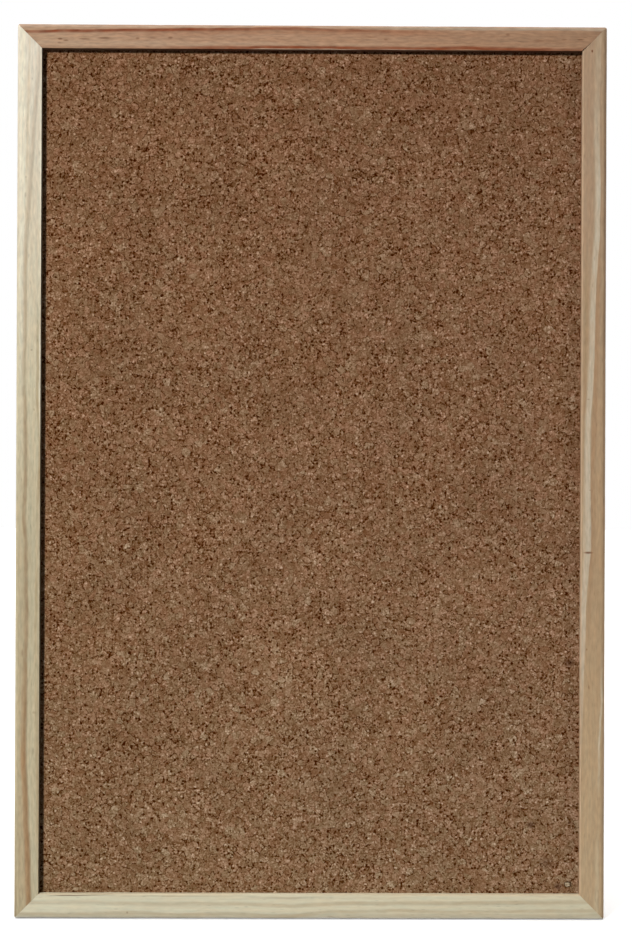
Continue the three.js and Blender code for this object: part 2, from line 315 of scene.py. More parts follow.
# Each bar's pine: how strong its mottling is, the share of light left on its lip over the cork as painted
# shade, its tones from the left or top end, its streaks, a few of them painted light and shade, and its
# flecks. Lengths are in millimetres, colours as they look on screen.
PINE = {
    "top_bar": {
        "mottling": 2.4,
        "lip": 0.45,
        "tones": [(0, (179, 146, 117)), (110, (174, 137, 109)), (240, (166, 129, 101)),
                  (396, (154, 120, 93))],
        "streaks": [
            Streak((184, 154, 127), (1.5, 2.0, 1.5), (0, 12.0, 0.6), (110, 12.4, 0.5), (300, 12.4, 0)),
            Streak((188, 158, 135), (0.5, 0.5, 0.9), (0, 1.3, 0.9), (120, 1.2, 0.7), (250, 1.2, 0.4)),
            Streak((166, 145, 123), (0.5, 1.3, 1.0), (215, 1.1, 0), (260, 1.1, 0.8), (396, 1.2, 0.9)),
            Streak((157, 113, 84), (1.0, 1.5, 2.0), (50, 5.9, 0), (110, 4.8, 0.5), (190, 3.2, 0.6),
                   (245, 4.4, 0.6), (330, 5.4, 0)),
            Streak((124, 54, 18), (0.9, 0.6, 1.8), (0, 5.0, 0.72), (40, 4.2, 0.9), (110, 3.1, 0.9),
                   (187, 1.8, 0.65), (202, 2.4, 0.5), (236, 3.4, 0.5), (300, 3.9, 0)),
            Streak((124, 54, 18), (1.6, 1.0, 0.8), (40, 15.6, 0.1), (95, 15.6, 0.25), (125, 15.4, 0.65),
                   (187, 14.7, 0.85), (250, 15.3, 0.75), (285, 14.9, 0.8), (301, 14.4, 0.85),
                   (316, 14.9, 0.85), (345, 15.4, 0.7), (396, 16.0, 0.3)),
            Streak((150, 122, 99), (0.3, 0.6, 0.6), (0, 0.3, 0.5), (396, 0.3, 0.5)),
            Streak((205, 178, 152), (0.3, 0.3, 0.5), (150, 16.2, 0), (165, 16.1, 0.6), (220, 16.2, 0.8),
                   (236, 16.2, 0.1), (260, 16.2, 0.6), (287, 16.2, 0)),
        ],
        "flecks": [
            Fleck(28.5, 10.1, 3.6, 1.4, 0.65), Fleck(32.5, 11.2, 4.0, 1.2, 0.5), Fleck(28, 12.6, 3, 1.4, 0.3),
            Fleck(45, 10.0, 9.0, 1.1, 0.45), Fleck(58, 9.5, 10.0, 1.2, 0.6), Fleck(80.5, 9.6, 3, 1.8, 0.45),
            Fleck(91, 9.3, 5.0, 1.4, 0.3), Fleck(102.5, 9.2, 3.4, 1.8, 0.5), Fleck(237, 8.0, 9, 1.2, 0.35),
            Fleck(247, 9.7, 3.0, 1.3, 0.4), Fleck(329, 5.7, 3.2, 1.9, 0.4), Fleck(350, 9.8, 8.0, 1.6, 0.3),
            Fleck(367, 9.0, 4.0, 1.0, 0.4), Fleck(378, 9.0, 5.0, 1.1, 0.55),
        ],
    },
    "bottom_bar": {
        "mottling": 0.65,
        "lip": 1.0,
        "tones": [(0, (210, 203, 176)), (240, (207, 198, 170)), (396, (200, 191, 163))],
        "streaks": [
            Streak((184, 173, 147), (1.0, 1.5, 1.0), (0, 1.7, 0.8), (200, 1.7, 0.6), (396, 2.2, 0.9)),
            # painted light on the rounded lower edge, which faces down and gets little lamp light
            Streak((222, 214, 198), (0.4, 0.4, 0.8), (0, 0.3, 0.9), (396, 0.3, 0.9)),
            Streak((182, 167, 138), (2.0, 0.6, 1.4), (0, 3.1, 0.5), (45, 3.2, 0.5), (80, 4.2, 0.75),
                   (109, 2.4, 0.6), (145, 3.5, 0.6), (184, 1.6, 0.8), (210, 4.7, 0.7), (260, 5.6, 0.75),
                   (292, 4.5, 0.75), (345, 5.5, 0.75), (396, 6.0, 0.75)),
            Streak((186, 171, 142), (1.6, 0.8, 1.8), (0, 10.2, 0.5), (45, 10.4, 0.5), (94, 9.6, 0.6),
                   (152, 9.8, 0.6), (185, 8.2, 0.85), (222, 10.2, 0.85), (290, 10.3, 0.85),
                   (396, 11.9, 0.85)),
            Streak((182, 168, 141), (1.0, 0.4, 1.0), (150, 14.7, 0), (185, 13.7, 0.7), (215, 15.2, 0)),
            Streak((170, 152, 120), (0.6, 0.3, 0.6), (60, 15.2, 0), (100, 15.2, 0.6), (175, 15.2, 0)),
            Streak((100, 70, 42), (0.4, 0.3, 0.5), (22, 15.2, 0), (32, 15.3, 0.7), (56, 15.8, 0.9),
                   (74, 16.2, 0)),
            Streak((200, 184, 154), (0.4, 0.6, 0.5), (0, 15.9, 0.7), (150, 16.0, 0.6), (165, 16.1, 0.1),
                   (195, 16.1, 0.1), (215, 16.0, 0.6), (396, 15.9, 0.9)),
        ],
        "flecks": [Fleck(76, 4.2, 1.4, 1.6, 0.4), Fleck(212, 1.6, 5.0, 0.7, 0.3)],
    },
    "left_bar": {
        "mottling": 1.55,
        "lip": 0.45,
        "tones": [(0, (230, 219, 199)), (130, (217, 204, 178)), (240, (203, 191, 161)),
                  (340, (191, 177, 146)), (600, (184, 169, 137))],
        "streaks": [
            Streak((237, 228, 203), (0.8, 2.2, 2.6), (0, 2.1, 0.9), (120, 2.1, 0.8), (290, 2.0, 0)),
            Streak((189, 181, 152), (0.8, 3.0, 3.0), (280, 7.9, 0), (340, 8.6, 0.4), (480, 8.2, 0.3),
                   (600, 12.0, 0.7)),
            Streak((175, 156, 123), (1.5, 3.5, 1.5), (300, 2.4, 0), (420, 2.4, 0.5), (600, 3.6, 0.7)),
            Streak((164, 126, 88), (1.6, 1.8, 0.8), (425, 5.6, 0), (490, 5.0, 0.7), (550, 7.7, 0.7),
                   (600, 9.0, 0.7)),
            Streak((205, 186, 150), (0.8, 0.6, 0.8), (15, 7.8, 0.3), (60, 7.0, 0.5), (150, 5.4, 0)),
            Streak((143, 112, 78), (2.4, 0.6, 1.5), (15, 15.5, 0.2), (60, 12.0, 0.35), (105, 9.4, 0.28),
                   (150, 6.0, 0.4), (245, 5.4, 0.45), (264, 6.2, 0.52), (305, 6.5, 0.6), (330, 5.5, 0.55),
                   (350, 7.2, 0.62), (410, 7.6, 0.66), (428, 6.8, 0.7), (455, 7.3, 0.68), (485, 6.7, 0.66),
                   (545, 9.3, 0.7), (600, 10.8, 0.7)),
            Streak((172, 151, 116), (1.2, 0.5, 1.0), (185, 14.1, 0), (205, 14.2, 0.5), (255, 14.3, 0.6),
                   (285, 15.5, 0.4), (300, 15.5, 0.9), (350, 14.3, 0.1), (390, 13.9, 0.75), (412, 13.7, 0.3),
                   (530, 15.5, 0.6), (560, 15.5, 0)),
            Streak((122, 100, 70), (0.4, 0.8, 1.6), (500, 0.4, 0), (560, 0.4, 0.25), (600, 0.4, 0.6)),
            Streak((238, 230, 206), (0.6, 0.6, 0.6), (20, 15.7, 0.8), (135, 15.8, 0.7), (200, 15.9, 0.2),
                   (215, 15.8, 0.7), (262, 15.9, 0.6), (280, 16.1, 0)),
        ],
        "flecks": [
            Fleck(37, 9.9, 2.0, 0.8, 0.25), Fleck(103, 6.2, 2.0, 1.2, 0.25), Fleck(115, 5.8, 4.0, 1.4, 0.25),
            Fleck(219, 10.3, 1.2, 1.6, 0.35), Fleck(259, 12.1, 2.0, 1.0, 0.3), Fleck(422, 5, 6.0, 1.6, 0.25),
            Fleck(488, 12.5, 6.0, 0.9, 0.3), Fleck(462, 13.0, 2.0, 2.6, 0.2),
        ],
    },
    "right_bar": {
        "mottling": 1.4,
        "lip": 1.0,
        "tones": [(0, (165, 139, 111)), (150, (168, 141, 112)), (330, (170, 142, 110)),
                  (450, (173, 146, 113)), (600, (178, 153, 120))],
        "streaks": [
            Streak((168, 138, 112), (2.0, 5.0, 2.0), (30, 9.7, 0.6), (130, 10.2, 0.5), (180, 12.3, 0)),
            Streak((160, 126, 95), (2.0, 1.5, 0.6), (140, 3.7, 0), (170, 5.2, 0.6), (230, 6.2, 0.7),
                   (300, 8.2, 0.5), (350, 8.2, 0.5), (430, 12.3, 0)),
            Streak((158, 131, 98), (2.0, 0.6, 1.5), (150, 13.5, 0), (180, 13.2, 0.5), (240, 13.6, 0.4),
                   (330, 15.3, 0.3), (600, 15.7, 0.2)),
            Streak((185, 167, 141), (1.5, 1.2, 1.0), (285, 13.2, 0), (320, 13.6, 0.7), (355, 13.8, 0.7),
                   (385, 14.5, 0)),
            Streak((191, 175, 152), (0.6, 2.2, 2.4), (0, 3.7, 0.2), (45, 5.2, 0.35), (70, 5.2, 0.55),
                   (110, 4.5, 0.95), (140, 4.8, 0.95), (170, 7.1, 0.75), (225, 8.2, 0.9), (265, 10.4, 0.95),
                   (290, 10.7, 1), (351, 10.0, 0.95), (380, 12.7, 0.85), (430, 14.2, 0.85), (495, 15.9, 0)),
            Streak((194, 180, 156), (0.4, 0.5, 1.2), (415, 1.6, 0), (458, 1.9, 0.8), (478, 3.3, 0.8),
                   (520, 3.7, 0)),
            Streak((185, 168, 138), (1.5, 0.6, 2.0), (540, 4.0, 0), (558, 4.4, 0.7), (600, 4.8, 0.5)),
            # painted light on the lip, the inner face that the key lamp lights
            Streak((198, 168, 138), (0.5, 0.5, 0.5), (0, 16.1, 0.7), (600, 16.1, 0.7)),
            # painted shade on the rounded outer edge, which faces away from the key lamp
            Streak((112, 88, 66), (0.4, 0.8, 2.0), (0, 0.4, 0.55), (50, 0.4, 0.68), (200, 0.4, 0.65),
                   (270, 0.4, 0.48), (400, 0.4, 0.32), (600, 0.4, 0.36)),
        ],
        "flecks": [
            Fleck(16.5, 10.2, 2.2, 1.4, 0.95), Fleck(353.5, 11.7, 1.7, 6.6, 0.8),
            Fleck(311.5, 10.5, 0.8, 1.6, 0.35), Fleck(250.5, 12.0, 1.0, 2.0, 0.35),
            Fleck(418.5, 12.5, 1.8, 1.2, 0.4), Fleck(444, 10.7, 3.0, 1.6, 0.3),
        ],
    },
}
FLECK_COLOUR = (96, 46, 10)
FLECK_FADE = (0.3, 1.3)  # full within the first share of its half size, and gone at the second
FLECK_DEPTHS = (2.0, 3.0)  # in millimetres: full down to the first behind the front, and gone at the second

# Along each bar from its left or top end, and across it from its outer edge: row axis, start, direction
BAR_AXES = {
    "top_bar": ((0, LEFT, 1), (2, TOP, -1)),
    "bottom_bar": ((0, LEFT, 1), (2, BOTTOM, 1)),
    "left_bar": ((2, TOP, -1), (0, LEFT, 1)),
    "right_bar": ((2, TOP, -1), (0, RIGHT, -1)),
}

# Pine's patterns: waves in a millimetre along the bar, and across its growth rings
PATCHES = (0.09, 0.3)
BANDS = (0.007, 0.35)
MOTTLE = (0.14, 0.66)
FIBRES = (0.035, 1.7)
SPECKS = (0.16, 0.8)
HUES = (0.06, 0.45)
HUE_TINTS = [(0.25, (1.03, 0.99, 0.96, 1)), (0.75, (0.97, 1.01, 1.03, 1))]

# Growth rings: how far they lean across the bar for each millimetre of depth, and how far they wander across
# it in millimetres, with the waves of that in a millimetre along and across
RING_SLANT = 0.8
RING_DRIFT = 1.4
DRIFT_WAVES = (0.05, 0.06)

# The lip, a bar's narrow inner face in front of the cork: how far before that face its shade begins and is
# full, and over what depth it fades, in millimetres
LIP_START = 0.2
LIP_FULL = 0.05
LIP_FADE = 1.0


def bar_length(name):
    return RIGHT - LEFT if name in ("top_bar", "bottom_bar") else TOP - BOTTOM


class BarPlace:
    """A point of a bar in millimetres: along the bar, inwards from its outer edge, behind its front face, and
    across its growth rings, which slant into the depth and fold back beyond the bar's width."""

    def __init__(self, wood, name):
        (along_axis, along_start, along_way), (across_axis, across_start, across_way) = BAR_AXES[name]
        point = wood.parts(wood.millimetres())
        self.wood = wood
        self.along = wood.scaled(point[along_axis], along_way, -along_way * along_start / MM)
        self.inwards = wood.scaled(point[across_axis], across_way, -across_way * across_start / MM)
        self.depth = wood.scaled(point[1], 1.0, -FRONT / MM)
        lean = wood.scaled(self.depth, RING_SLANT, -RING_SLANT * OUTER_ROUND / MM)
        lean = wood.math("MAXIMUM", lean, 0.0)
        ways = [wood.scaled(way, waves) for way, waves in zip((self.along, self.inwards), DRIFT_WAVES)]
        drift = wood.scaled(wood.noise(wood.vector(*ways, 0.0), 1.0), RING_DRIFT, -RING_DRIFT / 2)
        across = wood.math("ADD", wood.math("ADD", self.inwards, lean), drift)
        self.across = wood.math("PINGPONG", across, BAR_WIDTH / MM)

    def drawn_out(self, waves):
        """The point's place in a pattern that is drawn out along the bar."""
        along = self.wood.scaled(self.along, waves[0])
        across = self.wood.scaled(self.across, waves[1])
        return self.wood.vector(along, across, self.depth)

    def noise(self, waves, **settings):
        return self.wood.noise(self.drawn_out(waves), 1.0, **settings)


def streaked(wood, place, name):
    """A bar's tones from end to end, under its streaks."""
    length = bar_length(name) / MM
    width = BAR_WIDTH / MM
    share = wood.scaled(place.along, 1 / length)
    colour = wood.ramp(share, [(at / length, srgb(*tone)) for at, tone in PINE[name]["tones"]])
    patchy = wood.remap(place.noise(PATCHES), 0.3, 0.7, 0.75, 1.15)
    for streak in PINE[name]["streaks"]:
        stops = [(at / length, (offset / width, strength, 0, 1)) for at, offset, strength in streak.path]
        start, strength, _ = wood.channels(wood.ramp(share, stops))
        away = wood.scaled(start, -width, place.across)
        outer, core, inner = streak.widths
        shape = wood.math("MULTIPLY", wood.remap(away, -outer, 0.0, smooth=True), strength)
        shape = wood.math("MULTIPLY", wood.remap(away, core + inner, core, smooth=True), shape)
        shape = wood.math("MULTIPLY", shape, patchy)
        colour = wood.mix(shape, colour, srgb(*streak.colour))
    return colour


def flecked(wood, place, name, colour):
    """A colour with a bar's flecks on it."""
    full, gone = FLECK_FADE
    shallow, deep = FLECK_DEPTHS
    in_front = wood.remap(place.depth, deep, shallow)
    for fleck in PINE[name]["flecks"]:
        ahead = wood.scaled(place.along, 2 / fleck.length, -2 * fleck.along / fleck.length)
        aside = wood.scaled(place.across, 2 / fleck.width, -2 * fleck.offset / fleck.width)
        shape = wood.remap(wood.reach(ahead, aside), gone, full, 0.0, fleck.strength, smooth=True)
        shape = wood.math("MULTIPLY", shape, in_front)
        colour = wood.mix(shape, colour, srgb(*FLECK_COLOUR))
    return colour


def lip_light(wood, place, share):
    """The light left on a bar's lip, where the bar shades itself, and 1 elsewhere."""
    width = BAR_WIDTH / MM
    cork_depth = (CORK_LOW.y - FRONT) / MM
    inner_face = wood.remap(place.inwards, width - LIP_START, width - LIP_FULL)
    before_cork = wood.remap(place.depth, cork_depth + 2 * LIP_FADE, cork_depth + LIP_FADE)
    return wood.scaled(wood.math("MULTIPLY", inner_face, before_cork), share - 1, 1.0)


def pine(name):
    """Planed pine with the bar's own tones, streaks and flecks, under fine lines, fibres and mottling,
    with painted shade on the top and left bars' lips and a few streaks of painted light and shade.
    """
    wood = Material(f"pine_{name}")
    place = BarPlace(wood, name)
    mottling = PINE[name]["mottling"]
    fibres = place.noise(FIBRES, detail=5.0, roughness=0.62)
    speck_far, speck_chance, _ = wood.cells(place.drawn_out(SPECKS), 1.0)
    specks = wood.math("MULTIPLY", wood.remap(speck_far, 0.32, 0.08), wood.remap(speck_chance, 0.55, 1.0))

    light = wood.scaled(place.noise(BANDS, detail=1.0), 0.24, 0.90)
    for pattern, contrast in ((place.noise(MOTTLE), 0.36 * mottling), (fibres, 0.15 + 0.08 * mottling)):
        light = wood.math("MULTIPLY", light, wood.scaled(pattern, contrast, 1 - contrast / 2))
    light = wood.math("MULTIPLY", light, wood.scaled(specks, -0.22, 1.02))
    light = wood.math("MULTIPLY", light, lip_light(wood, place, PINE[name]["lip"]))

    colour = flecked(wood, place, name, streaked(wood, place, name))
    for shade in (light, wood.ramp(place.noise(HUES), HUE_TINTS)):
        colour = wood.mix(1.0, colour, shade, "MULTIPLY")
    wood.set("Base Color", colour)
    wood.set("Roughness", wood.remap(fibres, 0.3, 0.7, 0.55, 0.7))
    wood.set("Specular IOR Level", 0.12)
    wood.bump(wood.scaled(specks, -0.6, fibres), 0.08 * MM, 0.5)
    return wood.data


# Cork: cells in a millimetre, and how far in millimetres the cells' edges are bent
GRANULES = 0.23
GRANULE_BEND = 2.8
BITS = 0.54
BIT_BEND = 1.8
PITS = 0.38
CORK_TONES = [
    (0.00, srgb(60, 22, 2)),
    (0.25, srgb(93, 55, 24)),
    (0.50, srgb(125, 91, 64)),
    (0.75, srgb(163, 130, 104)),
    (1.00, srgb(201, 169, 144)),
]
GRANULE_TINTS = [
    (0.00, (1.05, 0.97, 0.95, 1)),
    (0.35, (0.98, 1.015, 0.99, 1)),
    (0.70, (1.06, 0.97, 0.96, 1)),
    (1.00, (0.96, 1.03, 1.00, 1)),
]

# Over the whole sheet: painted shade, paler at the board's foot and darker at its top, with a tint greyer at
# the foot and redder at the top; and a tint from its left to its right
SHADE_AND_TINT_UP = [(0.0, (1.015, 1.11, 1.13, 1)), (0.5, WHITE), (1.0, (0.965, 0.915, 0.895, 1))]
FADING_ASIDE = [(0.0, (1.0, 1.0, 0.96, 1)), (1.0, (1.0, 1.0, 1.01, 1))]

# Shade: the light left beside the right and bottom bars with how far that reaches, and how much darker the
# cork gets towards the top right
SHADE_RIGHT = (0.80, 16.0 * MM)
SHADE_BOTTOM = (0.83, 9.0 * MM)
SHADE_CORNER = 0.12

# Marks in the cork, as ragged spots a little wider than high: a pale chip and dark spots
SPOT_BEND = 2.4  # in millimetres
SPOT_FLATNESS = 1.2
CHIP_PLACE = (RIGHT - 23.8 * MM, BOTTOM + 22.6 * MM)
CHIP_RADIUS = 1.65 * MM
CHIP_RIM = 0.8 * MM
CHIP_FADE = 0.25 * MM
DARK_SPOT_TINT = (0.12, 0.02, 0.0, 1)
DARK_SPOTS = [  # place, radius, fading and strength
    ((RIGHT - 30.3 * MM, BOTTOM + 21.2 * MM), 2.2 * MM, 1.2 * MM, 0.62),
    ((RIGHT - 37.7 * MM, BOTTOM + 37.0 * MM), 4.4 * MM, 2.8 * MM, 0.34),
    ((RIGHT - 48.9 * MM, BOTTOM + 62.6 * MM), 2.2 * MM, 1.4 * MM, 0.58),
    ((RIGHT - 23.2 * MM, BOTTOM + 172.0 * MM), 2.8 * MM, 1.8 * MM, 0.60),
]


def cork_tone(grain, place):
    """How pale the cork is, 0 to 1, with the value of its granule and its finest grain there."""
    bent = grain.add(place, grain.noise(place, 0.50, detail=3.0, roughness=0.6, colour=True), GRANULE_BEND)
    ragged = grain.add(place, grain.noise(place, 0.95, detail=2.0, colour=True), BIT_BEND)
    _, granule, coarse = grain.cells(bent, GRANULES)
    bit_far, bit, flake = grain.cells(ragged, BITS)
    pit_far, pit_chance, _ = grain.cells(ragged, PITS)
    granule_seam = grain.seam(bent, GRANULES)
    bit_seam = grain.seam(ragged, BITS)
    fine = grain.noise(place, 0.84, detail=2.0, roughness=0.5)
    broken = grain.noise(place, 0.55, detail=1.0)
    loose = grain.remap(grain.noise(place, 0.13, detail=1.0), 0.35, 0.65)

    chance = grain.scaled(loose, 0.5, pit_chance)
    pits = grain.math("MULTIPLY", grain.remap(pit_far, 0.40, 0.12), grain.remap(chance, 0.72, 1.05))
    seams = grain.math("MULTIPLY", grain.remap(granule_seam, 0.08, 0.02), grain.remap(broken, 0.50, 0.58))
    cracks = grain.math("MULTIPLY", grain.remap(bit_seam, 0.16, 0.04), grain.remap(broken, 0.50, 0.40))
    specks = grain.math("MULTIPLY", grain.remap(bit_far, 0.50, 0.25), grain.remap(flake, 0.88, 0.92))
    flakes = grain.math("MAXIMUM", specks, grain.remap(granule, 0.970, 0.985, 0.0, 0.25))

    rough = grain.math("ADD", grain.scaled(coarse, 0.5, 0.4), grain.scaled(loose, 0.6))
    detail = grain.scaled(grain.math("SUBTRACT", bit, 0.5), 0.25)
    detail = grain.scaled(grain.math("SUBTRACT", fine, 0.5), 0.85, detail)
    tone = grain.scaled(granule, 0.085, 0.534)
    for pattern, weight in ((detail, rough), (pits, -0.72), (seams, -0.50), (cracks, -0.14), (flakes, 0.28)):
        tone = grain.scaled(pattern, weight, tone)
    return tone, granule, fine


def cork_shades(grain, place):
    """What the cork's colour is multiplied by: painted shade and a tint up the sheet, a tint across it,
    painted shade by the bars and at the top right, and clouds.
    """
    x, _, z = grain.parts(place)
    height = grain.remap(z, BOTTOM / MM, TOP / MM)
    aside = grain.remap(x, LEFT / MM, RIGHT / MM)
    shades = [grain.ramp(height, SHADE_AND_TINT_UP), grain.ramp(aside, FADING_ASIDE)]
    from_right = grain.scaled(x, -1.0, (RIGHT - BAR_WIDTH) / MM)
    from_bottom = grain.scaled(z, 1.0, -(BOTTOM + BAR_WIDTH) / MM)
    for distance, (dark, reach) in ((from_right, SHADE_RIGHT), (from_bottom, SHADE_BOTTOM)):
        shades.append(grain.remap(distance, 0.0, reach / MM, dark, 1.0, smooth=True))
    towards_corner = grain.math("MULTIPLY", aside, height)
    shades.append(grain.scaled(towards_corner, -SHADE_CORNER, 1 + SHADE_CORNER / 4))
    shades.append(grain.scaled(grain.noise(place, 0.02, detail=2.0), 0.3, 0.85))
    return shades


def spot(grain, place, middle, radius, fade):
    """How far a point is in a ragged spot of the cork, 0 to 1."""
    ragged = grain.add(place, grain.noise(place, 0.5, colour=True), SPOT_BEND)
    x, _, z = grain.parts(ragged)
    aside = grain.scaled(x, 1.0, -middle[0] / MM - SPOT_BEND / 2)
    above = grain.scaled(z, SPOT_FLATNESS, -SPOT_FLATNESS * (middle[1] / MM + SPOT_BEND / 2))
    return grain.remap(grain.reach(aside, above), (radius + fade) / MM, (radius - fade) / MM)


def cork():
    """Pressed cork: granules in bits of different tones and hues, with dark seams and pale specks."""
    grain = Material("cork_granules")
    place = grain.millimetres()
    tone, granule, fine = cork_tone(grain, place)
    colour = grain.ramp(tone, CORK_TONES)
    tints = grain.ramp(granule, GRANULE_TINTS)
    colour = grain.mix(grain.remap(tone, 0.5, 0.9, 1.0, 0.5), colour, tints, "MULTIPLY")
    for shade in cork_shades(grain, place):
        colour = grain.mix(1.0, colour, shade, "MULTIPLY")
    for middle, radius, fade, strength in DARK_SPOTS:
        dark = grain.scaled(spot(grain, place, middle, radius, fade), strength)
        colour = grain.mix(dark, colour, DARK_SPOT_TINT, "MULTIPLY")
    rim = spot(grain, place, CHIP_PLACE, CHIP_RADIUS + CHIP_RIM, CHIP_FADE)
    colour = grain.mix(rim, colour, srgb(58, 36, 17))
    pale = grain.ramp(fine, [(0.35, srgb(132, 114, 90)), (0.65, srgb(188, 170, 142))])
    colour = grain.mix(spot(grain, place, CHIP_PLACE, CHIP_RADIUS, CHIP_FADE), colour, pale)
    grain.set("Base Color", colour)
    grain.set("Roughness", 1.0)
    grain.set("Specular IOR Level", 0.0)
    grain.bump(tone, 0.25 * MM, 0.6)
    return grain.data


# Sheets behind the cork, and metal

MESH_PRINT = 5.2  # the press's mesh on the hardboard, in radians of its waves in a millimetre


def hardboard():
    """Hard pressed fibre with the mesh print of its press: cloudy, with pale and dark fibres and scuffs."""
    fibre = Material("hardboard_fibre")
    place = fibre.millimetres()
    x, y, z = fibre.parts(place)
    clouds = fibre.noise(place, 0.016, detail=4.0, roughness=0.6)
    bent = fibre.add(place, fibre.noise(place, 0.3, colour=True), 5.0)
    strands = fibre.noise(bent, 0.5, detail=4.0, roughness=0.7)
    slant_x = fibre.math("ADD", x, z)
    slant_z = fibre.math("SUBTRACT", x, z)
    level = fibre.lines(x, y, z, (0.16, 1.3))
    slanting = fibre.lines(slant_x, y, slant_z, (0.9, 0.12))
    pale = fibre.remap(fibre.math("MAXIMUM", level, slanting), 0.64, 0.76, 0.0, 0.65)
    speck_far, speck_chance, _ = fibre.cells(place, 0.22)
    specks = fibre.math("MULTIPLY", fibre.remap(speck_far, 0.22, 0.10), fibre.remap(speck_chance, 0.6, 0.9))
    slanting_scuffs = fibre.lines(slant_x, y, slant_z, (0.16, 0.010), detail=3.0)
    upright_scuffs = fibre.lines(x, y, z, (0.30, 0.012), detail=3.0)
    scuffs = fibre.math("MAXIMUM", slanting_scuffs, upright_scuffs)
    scuffs = fibre.remap(scuffs, 0.66, 0.76, 0.0, 0.35)

    colour = fibre.ramp(strands, [
        (0.25, srgb(80, 53, 33)),
        (0.50, srgb(120, 87, 58)),
        (0.75, srgb(156, 119, 84)),
    ])
    colour = fibre.mix(fibre.remap(clouds, 0.52, 0.36, 0.0, 0.26), colour, srgb(88, 59, 38))
    colour = fibre.mix(fibre.remap(clouds, 0.54, 0.70, 0.0, 0.18), colour, srgb(150, 114, 81))
    colour = fibre.mix(pale, colour, srgb(174, 138, 102))
    colour = fibre.mix(fibre.math("MULTIPLY", specks, 0.8), colour, srgb(56, 35, 21))
    colour = fibre.mix(scuffs, colour, srgb(170, 140, 110))
    wires = [fibre.math("SINE", fibre.scaled(way, MESH_PRINT)) for way in (x, z)]
    mesh = fibre.math("MULTIPLY", *wires)
    fibre.set("Base Color", colour)
    fibre.set("Roughness", fibre.remap(strands, 0.3, 0.7, 0.62, 0.8))
    fibre.set("Specular IOR Level", 0.3)
    fibre.bump(fibre.scaled(mesh, 0.35, strands), 0.15 * MM, 0.7)
    return fibre.data


def softboard():
    """Loose pressed wood fibre."""
    fibre = Material("softboard_fibre")
    place = fibre.millimetres()
    strands = fibre.noise(fibre.add(place, fibre.noise(place, 0.4, colour=True), 4.0), 0.7, detail=4.0)
    colour = fibre.ramp(strands, [(0.3, srgb(128, 98, 64)), (0.7, srgb(176, 146, 106))])
    fibre.set("Base Color", colour)
    fibre.set("Roughness", 0.95)
    fibre.bump(strands, 0.3 * MM, 0.6)
    return fibre.data


def zinc(name, dark, bright, roughness):
    """Zinc-coated steel: cloudy crystals, drawn scratches and a little dulling."""
    metal = Material(name)
    place = metal.millimetres()
    x, y, z = metal.parts(place)
    clouds = metal.noise(place, 0.6, detail=3.0)
    scratches = metal.lines(x, y, z, (6.0, 0.6), detail=3.0)
    metal.set("Base Color", metal.ramp(clouds, [(0.3, srgb(*dark)), (0.7, srgb(*bright))]))
    metal.set("Metallic", 1.0)
    metal.set("Roughness", metal.remap(scratches, 0.3, 0.7, roughness, roughness + 0.15))
    metal.bump(scratches, 0.02 * MM, 0.5)
    return metal.data


# Shapes

def new_object(name, data):
    """A new object in the scene, of a mesh, lamp or camera."""
    made = bpy.data.objects.new(name, data)
    bpy.context.scene.collection.objects.link(made)
    return made


def solid(name, shape):
    """A new object made from a bmesh in the row frame, its faces turned outwards."""
    bmesh.ops.recalc_face_normals(shape, faces=shape.faces)
    data = bpy.data.meshes.new(name)
    shape.to_mesh(data)
    shape.free()
    return new_object(name, data)


def piece(name, shape, material):
    """A smooth solid of one material, riding on the board."""
    made = solid(name, shape)
    made.data.polygons.foreach_set("use_smooth", [True] * len(made.data.polygons))
    made.data.materials.append(material)
    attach(made, BODY)
    return made


def arc(centre, radius, start, end, steps):
    """Points on an arc, angles in degrees."""
    angles = [math.radians(start + (end - start) * step / steps) for step in range(steps + 1)]
    return [(centre[0] + radius * math.cos(a), centre[1] + radius * math.sin(a)) for a in angles]


def bar_section():
    """A bar's section as (from its outer edge inwards, behind its front face) points."""
    groove_front = CORK_LOW.y - PANEL_PLAY - FRONT
    groove_back = HARDBOARD_BACK + PANEL_PLAY - FRONT
    flat = BAR_WIDTH - OUTER_ROUND - INNER_ROUND
    outline = arc((OUTER_ROUND, OUTER_ROUND), OUTER_ROUND, 180, 270, ROUND_STEPS)
    outline += [(OUTER_ROUND + k / (FRONT_POINTS + 1) * flat, 0.0) for k in range(1, FRONT_POINTS + 1)]
    outline += arc((BAR_WIDTH - INNER_ROUND, INNER_ROUND), INNER_ROUND, 270, 360, ROUND_STEPS)
    outline += [(BAR_WIDTH, groove_front), (GROOVE_FLOOR, groove_front)]
    outline += [(GROOVE_FLOOR, groove_back), (BAR_WIDTH, groove_back)]
    outline += arc((BAR_WIDTH - BACK_ROUND, BAR_DEPTH - BACK_ROUND), BACK_ROUND, 0, 90, BACK_STEPS)
    outline += arc((BACK_ROUND, BAR_DEPTH - BACK_ROUND), BACK_ROUND, 90, 180, BACK_STEPS)
    return outline


def bar_dings(name, length):
    """Small dents on the outer front edge, as (place along the bar, depth)."""
    chance = random.Random(name)
    dings = []
    for _ in range(DINGS_PER_BAR):
        place = chance.uniform(DING_MARGIN, 1 - DING_MARGIN) * length
        dings.append((place, chance.uniform(DING_SHALLOWEST, 1.0) * DING_DEPTH))
    return dings


def worn(name, dings, along, across, depth):
    """A point of the section after planing marks and small dents. The back stays flat."""
    if depth > BAR_DEPTH - 2 * BACK_ROUND:
        return across, depth
    own_waves = len(name)  # each bar's name has a length of its own
    push = WAVINESS * noise.noise(Vector((along / WAVE_LENGTH, across / WAVE_WIDTH, own_waves)))
    if depth < OUTER_ROUND and across < OUTER_ROUND:
        for place, deep in dings:
            push += deep * math.exp(-((along - place) / DING_RADIUS) ** 2)
    inward = Vector((BAR_WIDTH / 2 - across, BAR_DEPTH / 2 - depth)).normalized()
    return across + push * inward.x, depth + push * inward.y


